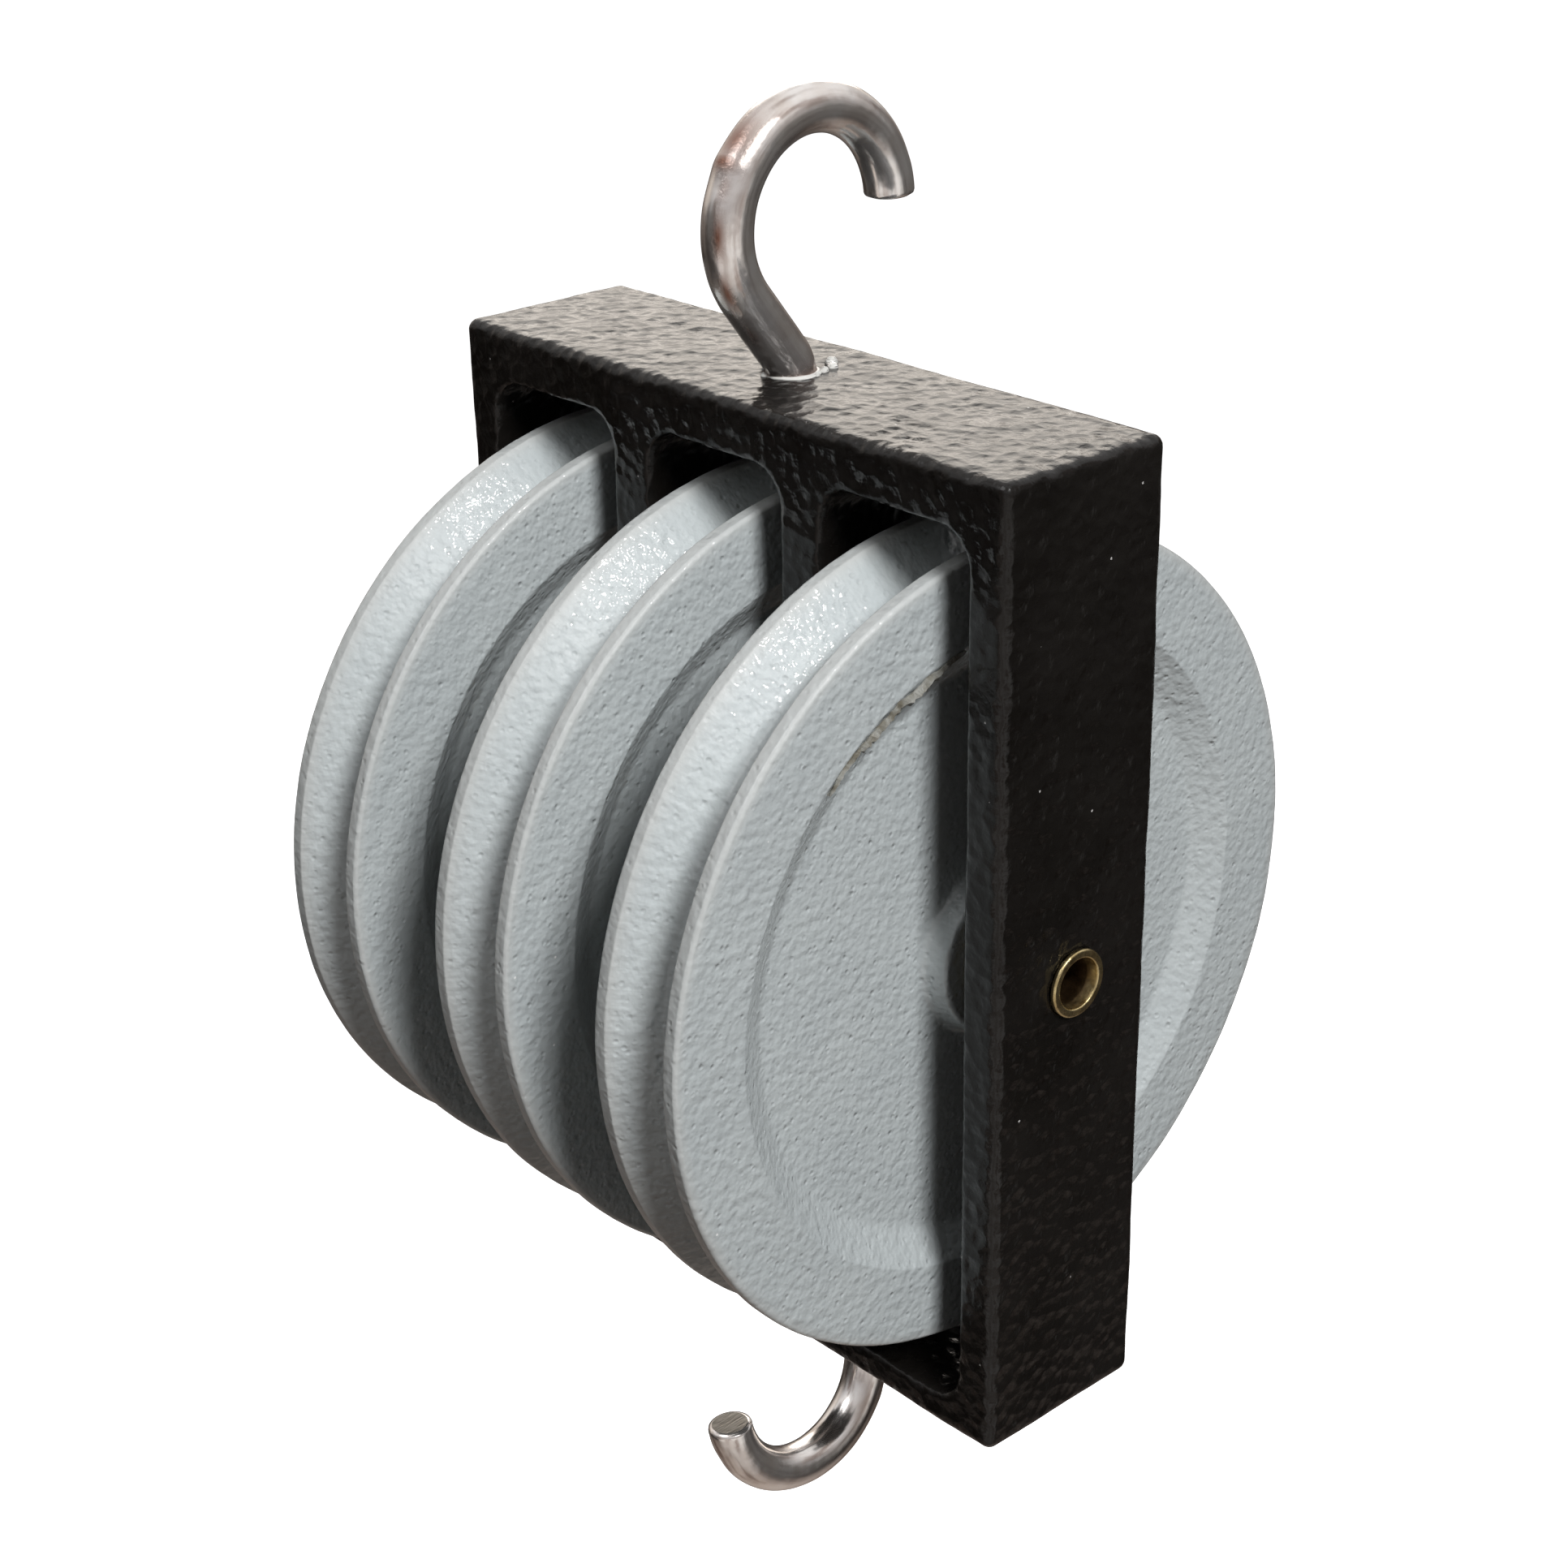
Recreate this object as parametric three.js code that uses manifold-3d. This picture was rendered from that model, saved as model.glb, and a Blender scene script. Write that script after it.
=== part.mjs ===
// Triple parallel pulley block: three grooved sheaves side by side on one hollow brass axle,
// in a cast frame with an open wire hook at each end. It hangs by the upper hook.
//
// Millimetres, +Z up, +X along the axle, the front of the block faces -Y. The origin is the
// point where the upper hook bears on what it hangs from: the top of the inside of its bowl.

import * as THREE from 'three';
import { RoundedBoxGeometry } from 'three/addons/geometries/RoundedBoxGeometry.js';
import { mergeVertices } from 'three/addons/utils/BufferGeometryUtils.js';
import Module from 'manifold-3d';

// ---------------------------------------------------------------- driving dimensions

// Sheave: a dished disc with a V groove in its rim and a small hub that stands just proud of
// the rim on both sides, so that the rim stays off the frame.
const SHEAVE_NAMES = ['sheave_left', 'sheave_middle', 'sheave_right'];
const SHEAVE_RADIUS = 25;
const RIM_WIDTH = 6.8;
const RIM_LAND = 1;
const RIM_CHAMFER = 0.3;
const GROOVE_DEPTH = 2.5;
const GROOVE_ROOT_WIDTH = 0.8;
const RECESS_DEPTH = 1.3;
const RECESS_MOUTH_RADIUS = 20;
const RECESS_FLOOR_RADIUS = 17.9;
const HUB_PROUD = 0.3;
const HUB_RADIUS = 5;
const HUB_FOOT_RADIUS = 5.4;
const SHEAVE_SHIFT = -0.45; // each sheave rests a little to the left in its side play

// Frame: one casting with a window for each sheave.
const WINDOW_WIDTH = 11.2;
const WINDOW_CORNER_RADIUS = 2.2;
const RIM_CLEARANCE = 2.55; // from the rim to the rail above and below it
const PARTITION = 3.4;
const SIDE_WALL = 2.8;
const TOP_RAIL = 3.3;
const BOTTOM_RAIL = 2.2;
const FRAME_DEPTH = 12.6;
const FRAME_EDGE_RADIUS = 0.7;

// Axle: a brass tube whose ends are flared over the frame's side walls.
const AXLE_RADIUS = 1.85;
const AXLE_BORE_RADIUS = 1.4;
const FLARE_RADIUS = 2.1;
const FLARE_HEIGHT = 0.4;
const RUNNING_CLEARANCE = 0.08;

// Hooks: round wire, straight through the rail, bent aside and then round into a bowl.
const WIRE_RADIUS = 1.5;
const BOWL_RADIUS = 6.25; // of the wire's centreline
const BOWL_HEIGHT = 8.6; // centre of the bowl above the face of the rail
const BOWL_OFFSET = 1.65; // centre of the bowl beside the shank's axis, on the tip's side
const SHANK_BEND_HEIGHT = 0.5;
const SHANK_BEND_RADIUS = 2.5;
const TIP_ANGLE = THREE.MathUtils.degToRad(3);
const SHANK_SHORTFALL = 0.2; // the shank ends this far short of the rail's inner face
const HOOK_FIT = 0.08;
const LOWER_HOOK_LEAN = THREE.MathUtils.degToRad(7); // the lower hook stands askew, towards +X

// Fineness of the round surfaces.
const SHEAVE_SEGMENTS = 60;
const AXLE_SEGMENTS = 48;
const HOLE_SEGMENTS = 48;
const CORNER_SEGMENTS = 6;
const EDGE_SEGMENTS = 3;
const WIRE_SIDES = 20;
const WIRE_STEPS = 44;
const CUT_OVERRUN = 1; // how far a cutter stands out of what it cuts

// ---------------------------------------------------------------- what follows from them

const SHEAVE_PITCH = WINDOW_WIDTH + PARTITION;
const FRAME_WIDTH = SHEAVE_NAMES.length * SHEAVE_PITCH - PARTITION + 2 * SIDE_WALL;
const WINDOW_HEIGHT = 2 * (SHEAVE_RADIUS + RIM_CLEARANCE);
const FRAME_HEIGHT = WINDOW_HEIGHT + TOP_RAIL + BOTTOM_RAIL;
const TOP_FACE = WINDOW_HEIGHT / 2 + TOP_RAIL; // heights above the axle
const BOTTOM_FACE = -WINDOW_HEIGHT / 2 - BOTTOM_RAIL;
const BEARING_HEIGHT = TOP_FACE + BOWL_HEIGHT + BOWL_RADIUS - WIRE_RADIUS;

const PAINTED_BLACK = { color: 0x1c1a18, roughness: 0.32, metalness: 0.1 };
const PAINTED_GREY = { color: 0xa9afb3, roughness: 0.42, metalness: 0.1 };
const BRASS = { color: 0xb4934a, roughness: 0.28, metalness: 1 };
const PLATED_STEEL = { color: 0xc9c6c3, roughness: 0.14, metalness: 1 };

// ---------------------------------------------------------------- joining and cutting

const wasm = await Module();
wasm.setup();

function toSolid(geometry) {
  geometry.deleteAttribute('normal');
  geometry.deleteAttribute('uv');
  const merged = mergeVertices(geometry);
  return new wasm.Manifold(new wasm.Mesh({
    numProp: 3,
    vertProperties: merged.attributes.position.array,
    triVerts: new Uint32Array(merged.index.array),
  }));
}

function toGeometry(solid) {
  const { vertProperties, triVerts } = solid.getMesh();
  const geometry = new THREE.BufferGeometry();
  geometry.setAttribute('position', new THREE.BufferAttribute(vertProperties, 3));
  geometry.setIndex(new THREE.BufferAttribute(triVerts, 1));
  geometry.computeVertexNormals();
  return geometry;
}

function piece(name, geometry, finish) {
  const mesh = new THREE.Mesh(geometry, new THREE.MeshStandardMaterial(finish));
  mesh.name = name;
  return mesh;
}

// ---------------------------------------------------------------- frame

function sheavePlace(index) {
  return (index - (SHEAVE_NAMES.length - 1) / 2) * SHEAVE_PITCH;
}

function roundedRectangle(width, height, radius) {
  const x = width / 2;
  const y = height / 2;
  const shape = new THREE.Shape();
  shape.absarc(x - radius, y - radius, radius, 0, Math.PI / 2);
  shape.absarc(radius - x, y - radius, radius, Math.PI / 2, Math.PI);
  shape.absarc(radius - x, radius - y, radius, Math.PI, 1.5 * Math.PI);
  shape.absarc(x - radius, radius - y, radius, 1.5 * Math.PI, 2 * Math.PI);
  return shape;
}

function windowCutter(index) {
  const outline = roundedRectangle(WINDOW_WIDTH, WINDOW_HEIGHT, WINDOW_CORNER_RADIUS);
  const depth = FRAME_DEPTH + 2 * CUT_OVERRUN;
  const cutter = new THREE.ExtrudeGeometry(outline, {
    depth,
    bevelEnabled: false,
    curveSegments: CORNER_SEGMENTS / 2, // each arc gets twice as many
  });
  cutter.translate(0, 0, -depth / 2);
  cutter.rotateX(Math.PI / 2);
  cutter.translate(sheavePlace(index), 0, 0);
  return toSolid(cutter);
}

function axleHoleCutter() {
  const radius = AXLE_RADIUS + RUNNING_CLEARANCE;
  const length = FRAME_WIDTH + 2 * CUT_OVERRUN;
  const cutter = new THREE.CylinderGeometry(radius, radius, length, HOLE_SEGMENTS);
  cutter.rotateZ(Math.PI / 2);
  return toSolid(cutter);
}

function hookHoleCutter(rail, face, lean) {
  const radius = WIRE_RADIUS + HOOK_FIT;
  const length = 2 * (rail + CUT_OVERRUN);
  const cutter = new THREE.CylinderGeometry(radius, radius, length, HOLE_SEGMENTS);
  cutter.rotateX(Math.PI / 2);
  cutter.rotateY(lean);
  cutter.translate(0, 0, face);
  return toSolid(cutter);
}

function makeFrame() {
  const block = new RoundedBoxGeometry(
    FRAME_WIDTH, FRAME_DEPTH, FRAME_HEIGHT, EDGE_SEGMENTS, FRAME_EDGE_RADIUS,
  );
  block.translate(0, 0, (TOP_FACE + BOTTOM_FACE) / 2);
  let casting = toSolid(block);
  for (const index of SHEAVE_NAMES.keys()) {
    casting = casting.subtract(windowCutter(index));
  }
  casting = casting.subtract(axleHoleCutter());
  casting = casting.subtract(hookHoleCutter(TOP_RAIL, TOP_FACE, 0));
  casting = casting.subtract(hookHoleCutter(BOTTOM_RAIL, BOTTOM_FACE, -LOWER_HOOK_LEAN));
  return piece('frame', toGeometry(casting), PAINTED_BLACK);
}

// ---------------------------------------------------------------- turned pieces

// Both are symmetrical end to end. Half of the outline, as [radius, distance from the middle],
// runs from the bore outwards, and its mirror image closes the loop.
function turnedPiece(name, half, segments, finish) {
  const lower = half.map(([radius, reach]) => new THREE.Vector2(radius, -reach));
  const upper = half.map(([radius, reach]) => new THREE.Vector2(radius, reach)).reverse();
  const outline = [...lower, ...upper, lower[0].clone()];
  const mesh = piece(name, new THREE.LatheGeometry(outline, segments), finish);
  mesh.rotation.z = -Math.PI / 2;
  return mesh;
}

function makeSheave(name, index) {
  const rim = RIM_WIDTH / 2;
  const web = rim - RECESS_DEPTH;
  const hub = rim + HUB_PROUD;
  const half = [
    [AXLE_RADIUS + RUNNING_CLEARANCE, hub],
    [HUB_RADIUS, hub],
    [HUB_FOOT_RADIUS, web],
    [RECESS_FLOOR_RADIUS, web],
    [RECESS_MOUTH_RADIUS, rim],
    [SHEAVE_RADIUS - RIM_CHAMFER, rim],
    [SHEAVE_RADIUS, rim - RIM_CHAMFER],
    [SHEAVE_RADIUS, rim - RIM_LAND],
    [SHEAVE_RADIUS - GROOVE_DEPTH, GROOVE_ROOT_WIDTH / 2],
  ];
  const sheave = turnedPiece(name, half, SHEAVE_SEGMENTS, PAINTED_GREY);
  sheave.position.x = sheavePlace(index) + SHEAVE_SHIFT;
  return sheave;
}

function makeAxle() {
  const face = FRAME_WIDTH / 2;
  const wall = (AXLE_RADIUS - AXLE_BORE_RADIUS) / 2;
  const half = [
    [AXLE_BORE_RADIUS, face - FLARE_HEIGHT],
    [AXLE_BORE_RADIUS + wall, face + FLARE_HEIGHT],
    [FLARE_RADIUS - wall / 2, face + FLARE_HEIGHT],
    [FLARE_RADIUS, face + FLARE_HEIGHT / 2],
    [AXLE_RADIUS, face + RUNNING_CLEARANCE],
  ];
  return turnedPiece('axle_tube', half, AXLE_SEGMENTS, BRASS);
}

// ---------------------------------------------------------------- hooks

// An arc in the hook's plane, in which y runs towards the tip and z away from the frame.
class PlaneArc extends THREE.Curve {
  constructor(centre, radius, from, to) {
    super();
    this.centre = centre;
    this.radius = radius;
    this.from = from;
    this.to = to;
  }

  getPoint(t) {
    const angle = THREE.MathUtils.lerp(this.from, this.to, t);
    const spoke = new THREE.Vector3(0, Math.cos(angle), Math.sin(angle));
    return spoke.multiplyScalar(this.radius).add(this.centre);
  }
}

// The shank comes straight out of the rail, bends away from the tip's side and runs as a
// tangent into the bowl, which turns over the top to the tip. z = 0 is the rail's face.
function hookPath(rail) {
  const corner = new THREE.Vector3(0, 0, SHANK_BEND_HEIGHT);
  const bowl = new THREE.Vector3(0, BOWL_OFFSET, BOWL_HEIGHT);
  const reach = corner.distanceTo(bowl);
  const rise = Math.atan2(bowl.z - corner.z, bowl.y);
  const heading = rise + Math.asin(BOWL_RADIUS / reach);
  const bend = heading - Math.PI / 2;
  const setback = SHANK_BEND_RADIUS * Math.tan(bend / 2);
  const along = new THREE.Vector3(0, Math.cos(heading), Math.sin(heading));
  const bendStart = corner.clone().add(new THREE.Vector3(0, 0, -setback));
  const bendCentre = bendStart.clone().add(new THREE.Vector3(0, -SHANK_BEND_RADIUS, 0));
  const bendEnd = corner.clone().addScaledVector(along, setback);
  const bowlStart = corner.clone().addScaledVector(along, Math.sqrt(reach ** 2 - BOWL_RADIUS ** 2));
  const path = new THREE.CurvePath();
  path.add(new THREE.LineCurve3(new THREE.Vector3(0, 0, SHANK_SHORTFALL - rail), bendStart));
  path.add(new PlaneArc(bendCentre, SHANK_BEND_RADIUS, 0, bend));
  path.add(new THREE.LineCurve3(bendEnd, bowlStart));
  path.add(new PlaneArc(bowl, BOWL_RADIUS, Math.PI + bend, TIP_ANGLE));
  return path;
}

function makeHook(name, rail) {
  const section = new THREE.Shape().absarc(0, 0, WIRE_RADIUS, 0, 2 * Math.PI);
  const wire = new THREE.ExtrudeGeometry(section, {
    extrudePath: hookPath(rail),
    steps: WIRE_STEPS,
    curveSegments: WIRE_SIDES / 2, // a whole circle gets twice as many
  });
  return piece(name, wire, PLATED_STEEL);
}

// ---------------------------------------------------------------- the block

function makeUpperHook() {
  const hook = makeHook('upper_hook', TOP_RAIL);
  hook.position.z = TOP_FACE;
  return hook;
}

// The lower hook is the upper one turned half a turn about the axle's direction.
function makeLowerHook() {
  const hook = makeHook('lower_hook', BOTTOM_RAIL);
  hook.rotation.x = Math.PI;
  const askew = new THREE.Group();
  askew.position.z = BOTTOM_FACE;
  askew.rotation.y = -LOWER_HOOK_LEAN;
  askew.add(hook);
  return askew;
}

function makeBlock() {
  const block = new THREE.Group();
  block.add(makeFrame());
  block.add(makeAxle());
  SHEAVE_NAMES.forEach((name, index) => block.add(makeSheave(name, index)));
  block.add(makeUpperHook());
  block.add(makeLowerHook());
  block.position.set(0, -BOWL_OFFSET, -BEARING_HEIGHT);
  return block;
}

const pulleyBlock = new THREE.Group();
pulleyBlock.add(makeBlock());

export default pulleyBlock;
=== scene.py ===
"""Looks of a triple parallel pulley block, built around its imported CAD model.

Lengths in this script are millimetres unless a name says otherwise. They become metres when a
mesh is made, because the frame is in metres.
"""

import math

import bmesh
import bpy
import numpy as np
from mathutils import Matrix, Vector, noise


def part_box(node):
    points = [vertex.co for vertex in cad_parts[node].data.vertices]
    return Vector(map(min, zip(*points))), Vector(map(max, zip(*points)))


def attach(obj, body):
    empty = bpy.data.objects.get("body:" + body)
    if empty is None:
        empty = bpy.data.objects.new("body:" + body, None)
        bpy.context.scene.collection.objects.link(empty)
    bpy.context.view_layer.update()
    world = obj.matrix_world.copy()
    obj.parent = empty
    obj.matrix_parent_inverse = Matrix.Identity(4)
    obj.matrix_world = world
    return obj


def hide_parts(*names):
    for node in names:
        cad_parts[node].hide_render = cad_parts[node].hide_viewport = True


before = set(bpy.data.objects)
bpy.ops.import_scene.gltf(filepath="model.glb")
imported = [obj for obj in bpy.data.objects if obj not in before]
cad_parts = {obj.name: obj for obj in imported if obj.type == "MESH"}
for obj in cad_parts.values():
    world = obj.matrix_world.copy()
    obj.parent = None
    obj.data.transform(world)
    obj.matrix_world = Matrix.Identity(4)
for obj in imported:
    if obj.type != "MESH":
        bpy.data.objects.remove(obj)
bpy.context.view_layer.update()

MM = 0.001


# ---------------------------------------------------------------- places taken from the frame


def box_mm(node):
    """A CAD node's lowest and highest corner, in millimetres."""
    low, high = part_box(node)
    return np.array(low) / MM, np.array(high) / MM


FRAME_LOW, FRAME_HIGH = box_mm("frame")
FRAME_CENTRE = (FRAME_LOW + FRAME_HIGH) / 2
FRAME_SIZE = FRAME_HIGH - FRAME_LOW
SHEAVES = {
    "sheave_left": "left_wheel",
    "sheave_middle": "middle_wheel",
    "sheave_right": "right_wheel",
}
SHEAVE_CENTRES = {node: sum(box_mm(node)) / 2 for node in SHEAVES}
AXLE = SHEAVE_CENTRES["sheave_middle"] * (0, 1, 1)
SHEAVE_PITCH = SHEAVE_CENTRES["sheave_right"][0] - SHEAVE_CENTRES["sheave_middle"][0]
SHEAVE_RADIUS = (box_mm("sheave_left")[1] - box_mm("sheave_left")[0])[2] / 2
FLARE_REACH = box_mm("axle_tube")[1][0]

# Wall thicknesses and roundings of the casting.
PARTITION = 3.4
RAIL_CLEARANCE = 2.55
WINDOW_CORNER = 2.2
OUTER_EDGE = 0.7
WINDOW_EDGE = 0.42
AXLE_HOLE = 1.93
HOOK_HOLE = 1.58
WINDOW_WIDTH = SHEAVE_PITCH - PARTITION
WINDOW_HEIGHT = 2 * (SHEAVE_RADIUS + RAIL_CLEARANCE)
TOP_RAIL = FRAME_HIGH[2] - AXLE[2] - WINDOW_HEIGHT / 2
BOTTOM_RAIL = AXLE[2] - WINDOW_HEIGHT / 2 - FRAME_LOW[2]


# ---------------------------------------------------------------- mesh helpers


def mesh_object(name, points_mm, faces, smooth=True):
    """A new object at the origin, with its place in its mesh."""
    mesh = bpy.data.meshes.new(name)
    mesh.from_pydata((np.asarray(points_mm) * MM).tolist(), [], faces)
    mesh.validate()
    if smooth:
        mesh.shade_smooth()
    made = bpy.data.objects.new(name, mesh)
    bpy.context.scene.collection.objects.link(made)
    return made


def point_attribute(made, name, values):
    """Stores one number for each vertex, for a material to read."""
    layer = made.data.attributes.new(name, "FLOAT", "POINT")
    layer.data.foreach_set("value", np.asarray(values, np.float32))


def lumps(points, size, seed):
    """Smooth noise from -1 to 1 at each point, with lumps of about the given size."""
    offset = Vector((seed * 13.7, seed * 7.3, seed * 3.1))
    return np.array([noise.noise(Vector(p) / size + offset) for p in points])


def rounded_outline(corners, longest):
    """Rounds each [along, out, radius] corner of an open line and fills in its straight runs."""
    points = [np.array(c[:2], float) for c in corners]
    radii = [c[2] for c in corners]
    line = [points[0]]
    for i in range(1, len(points) - 1):
        before = points[i - 1] - points[i]
        after = points[i + 1] - points[i]
        room = min(np.linalg.norm(before), np.linalg.norm(after)) * 0.49
        before /= np.linalg.norm(before)
        after /= np.linalg.norm(after)
        half = math.acos(np.clip(before @ after, -1, 1)) / 2
        setback = min(radii[i] / math.tan(half), room)
        start = points[i] + before * setback
        end = points[i] + after * setback
        turn = math.pi - 2 * half
        steps = max(2, math.ceil(turn / math.radians(9)))
        centre = points[i] + (before + after) / np.linalg.norm(before + after) * (
            setback * math.tan(half) / math.sin(half)
        )
        first = start - centre
        last = end - centre
        for k in range(steps + 1):
            t = k / steps
            mixed = math.sin((1 - t) * turn) * first + math.sin(t * turn) * last
            line.append(centre + mixed / math.sin(turn))
    line.append(points[-1])
    filled = [line[0]]
    for a, b in zip(line, line[1:]):
        pieces = max(1, math.ceil(np.linalg.norm(b - a) / longest))
        filled += [a + (b - a) * k / pieces for k in range(1, pieces + 1)]
    return np.array(filled)


def turned(name, outline, centre, segments, closed):
    """Turns a line of [along X, out from the axis] points round the X direction."""
    if closed:
        outline = outline[:-1]
    count = len(outline)
    angles = np.arange(segments) * 2 * math.pi / segments
    along = np.broadcast_to(outline[:, 0], (segments, count))
    out = outline[:, 1]
    points = np.stack([along, np.outer(np.cos(angles), out), np.outer(np.sin(angles), out)], -1)
    faces = []
    for s in range(segments):
        t = (s + 1) % segments
        for k in range(count if closed else count - 1):
            m = (k + 1) % count
            faces.append((s * count + k, s * count + m, t * count + m, t * count + k))
    return mesh_object(name, points.reshape(-1, 3) + centre, faces)


def push(made, distances_mm):
    """Moves each vertex along its normal."""
    mesh = made.data
    co = np.zeros(len(mesh.vertices) * 3)
    mesh.vertices.foreach_get("co", co)
    normals = np.zeros_like(co)
    mesh.vertex_normals.foreach_get("vector", normals)
    moved = co.reshape(-1, 3) + normals.reshape(-1, 3) * np.asarray(distances_mm)[:, None] * MM
    mesh.vertices.foreach_set("co", moved.ravel())
    mesh.update()


def vertices_mm(made):
    """Where each vertex is."""
    co = np.zeros(len(made.data.vertices) * 3)
    made.data.vertices.foreach_get("co", co)
    return co.reshape(-1, 3) / MM


def roughen(made, depth, size, seed, sink=0.0):
    """Pushes a surface in and out by smooth noise, and inwards by the sink."""
    push(made, depth * lumps(vertices_mm(made), size, seed) - sink)


def fix_normals(made):
    """Turns every face outwards."""
    bm = bmesh.new()
    bm.from_mesh(made.data)
    bmesh.ops.recalc_face_normals(bm, faces=bm.faces)
    bm.to_mesh(made.data)
    bm.free()


# ---------------------------------------------------------------- materials

DEEP_BLACK = (0.0045, 0.0038, 0.0032, 1)
FADED_BLACK = (0.008, 0.007, 0.0062, 1)
DUST_ON_BLACK = (0.42, 0.41, 0.4, 1)
COOL_GREY = (0.425, 0.46, 0.468, 1)
PALE_GREY = (0.455, 0.49, 0.495, 1)
# A warm, light grey for the sheaves' edges, partly a painted highlight.
WARM_EDGE_SHEEN_GREY = (0.48, 0.475, 0.455, 1)
DUST_ON_GREY = (0.8, 0.8, 0.79, 1)
BRIGHT_BRASS = (0.72, 0.6, 0.33, 1)
STAINED_BRASS = (0.5, 0.38, 0.18, 1)
# Painted shade inside the axle tube's bore.
BORE_SHADE_BROWN = (0.16, 0.1, 0.05, 1)
BRIGHT_PLATING = (0.88, 0.85, 0.83, 1)
SMUDGED_PLATING = (0.72, 0.65, 0.6, 1)
# Dark brown for worn plating and for a painted reflection along the shank.
PLATING_WEAR_AND_REFLECTION = (0.24, 0.11, 0.07, 1)
BRIGHT_CUT = (0.66, 0.64, 0.6, 1)
DULL_CUT = (0.45, 0.42, 0.38, 1)
# Near-white adhesive, partly a painted glint on clear drops.
GLINT_WHITE_DROP = (0.95, 0.95, 0.92, 1)
CLOUDED_GLINT_DROP = (0.85, 0.84, 0.8, 1)
FLASH_GREY = (0.24, 0.24, 0.22, 1)
FLASH_BROWN = (0.12, 0.11, 0.085, 1)

# Most of a noise's values lie between these two.
NOISE_RANGE = (0.3, 0.7)


class Wiring:
    """Short calls for wiring one node tree. An input's value is a number, a tuple or a socket."""

    def __init__(self, tree):
        self.tree = tree

    def add(self, kind, settings=None, **inputs):
        node = self.tree.nodes.new(kind)
        for key, value in (settings or {}).items():
            setattr(node, key, value)
        for key, value in inputs.items():
            self.feed(node, key.replace("_", " "), value)
        return node

    def feed(self, node, socket, value):
        if isinstance(value, bpy.types.NodeSocket):
            self.tree.links.new(value, node.inputs[socket])
        else:
            node.inputs[socket].default_value = value

    def place(self, output="Object"):
        """Where the shaded point is."""
        return self.add("ShaderNodeTexCoord").outputs[output]

    def stretched(self, vector, scale):
        return self.add("ShaderNodeMapping", Vector=vector, Scale=scale).outputs[0]

    def attribute(self, name):
        return self.add("ShaderNodeAttribute", {"attribute_name": name}).outputs["Fac"]

    def noise(self, vector, size_mm, detail):
        node = self.add(
            "ShaderNodeTexNoise", Vector=vector, Scale=1 / (size_mm * MM), Detail=detail
        )
        return node.outputs["Fac"]

    def streaks(self, vector, repeats, detail):
        """Noise with a number of repeats of its own along each axis."""
        stretched = self.stretched(vector, repeats)
        node = self.add("ShaderNodeTexNoise", Vector=stretched, Scale=1.0, Detail=detail)
        return node.outputs["Fac"]

    def cells(self, vector, size_mm, smoothness=0.0):
        """How far off the nearest of many scattered points is."""
        feature = "SMOOTH_F1" if smoothness else "F1"
        node = self.add(
            "ShaderNodeTexVoronoi", {"feature": feature}, Vector=vector, Scale=1 / (size_mm * MM)
        )
        if smoothness:
            self.feed(node, "Smoothness", smoothness)
        return node.outputs["Distance"]

    def spread(self, value, low, high, to_low=0.0, to_high=1.0, settings=None):
        """Stretches the values from low to high over the ones from to_low to to_high."""
        node = self.add(
            "ShaderNodeMapRange", settings, Value=value,
            From_Min=low, From_Max=high, To_Min=to_low, To_Max=to_high,
        )
        return node.outputs["Result"]

    def rough(self, noise, low, high):
        """A roughness between two values that follows a noise."""
        return self.spread(noise, *NOISE_RANGE, low, high)

    def math(self, operation, a, b):
        node = self.add("ShaderNodeMath", {"operation": operation})
        for i, value in enumerate((a, b)):
            self.feed(node, i, value)
        return node.outputs[0]

    def mix(self, amount, a, b, blend="MIX"):
        node = self.add("ShaderNodeMix", {"data_type": "RGBA", "blend_type": blend})
        self.feed(node, 0, amount)
        self.feed(node, 6, a)
        self.feed(node, 7, b)
        return node.outputs[2]

    def ramp(self, value, stops):
        """A colour for each position from 0 to 1."""
        node = self.add("ShaderNodeValToRGB")
        self.feed(node, 0, value)
        elements = node.color_ramp.elements
        while len(elements) < len(stops):
            elements.new(0.5)
        for element, (position, colour) in zip(elements, stops):
            element.position = position
            element.color = (*colour, 1)
        return node.outputs[0]

    def bump(self, height, depth_mm, before=None):
        node = self.add("ShaderNodeBump", Height=height, Strength=1.0, Distance=depth_mm * MM)
        if before is not None:
            self.feed(node, "Normal", before)
        return node.outputs["Normal"]


class Paint(Wiring):
    """A new material and the wiring of its one shader."""

    def __init__(self, name):
        self.material = bpy.data.materials.new(name)
        self.material.use_nodes = True
        super().__init__(self.material.node_tree)
        self.shader = self.tree.nodes["Principled BSDF"]

    def set(self, **inputs):
        for key, value in inputs.items():
            self.feed(self.shader, key.replace("_", " "), value)


def black_powder_coat():
    """Glossy black paint with a hammered texture and a little dust."""
    n = Paint("black_powder_coat")
    place = n.place()
    dents = n.cells(place, size_mm=0.95, smoothness=0.35)
    ripple = n.noise(place, size_mm=0.55, detail=2.0)
    slow = n.noise(place, size_mm=7.0, detail=3.0)
    dust = n.cells(place, size_mm=2.6)
    speck = n.spread(dust, 0.035, 0.02)
    tint = n.mix(n.spread(slow, 0.35, 0.65), DEEP_BLACK, FADED_BLACK)
    n.set(
        Base_Color=n.mix(speck, tint, DUST_ON_BLACK),
        Roughness=n.rough(n.noise(place, size_mm=2.2, detail=3.0), 0.16, 0.3),
        IOR=1.4,
    )
    normal = n.bump(dents, depth_mm=0.15)
    n.set(Normal=n.bump(ripple, depth_mm=0.06, before=normal))
    return n.material


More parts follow.
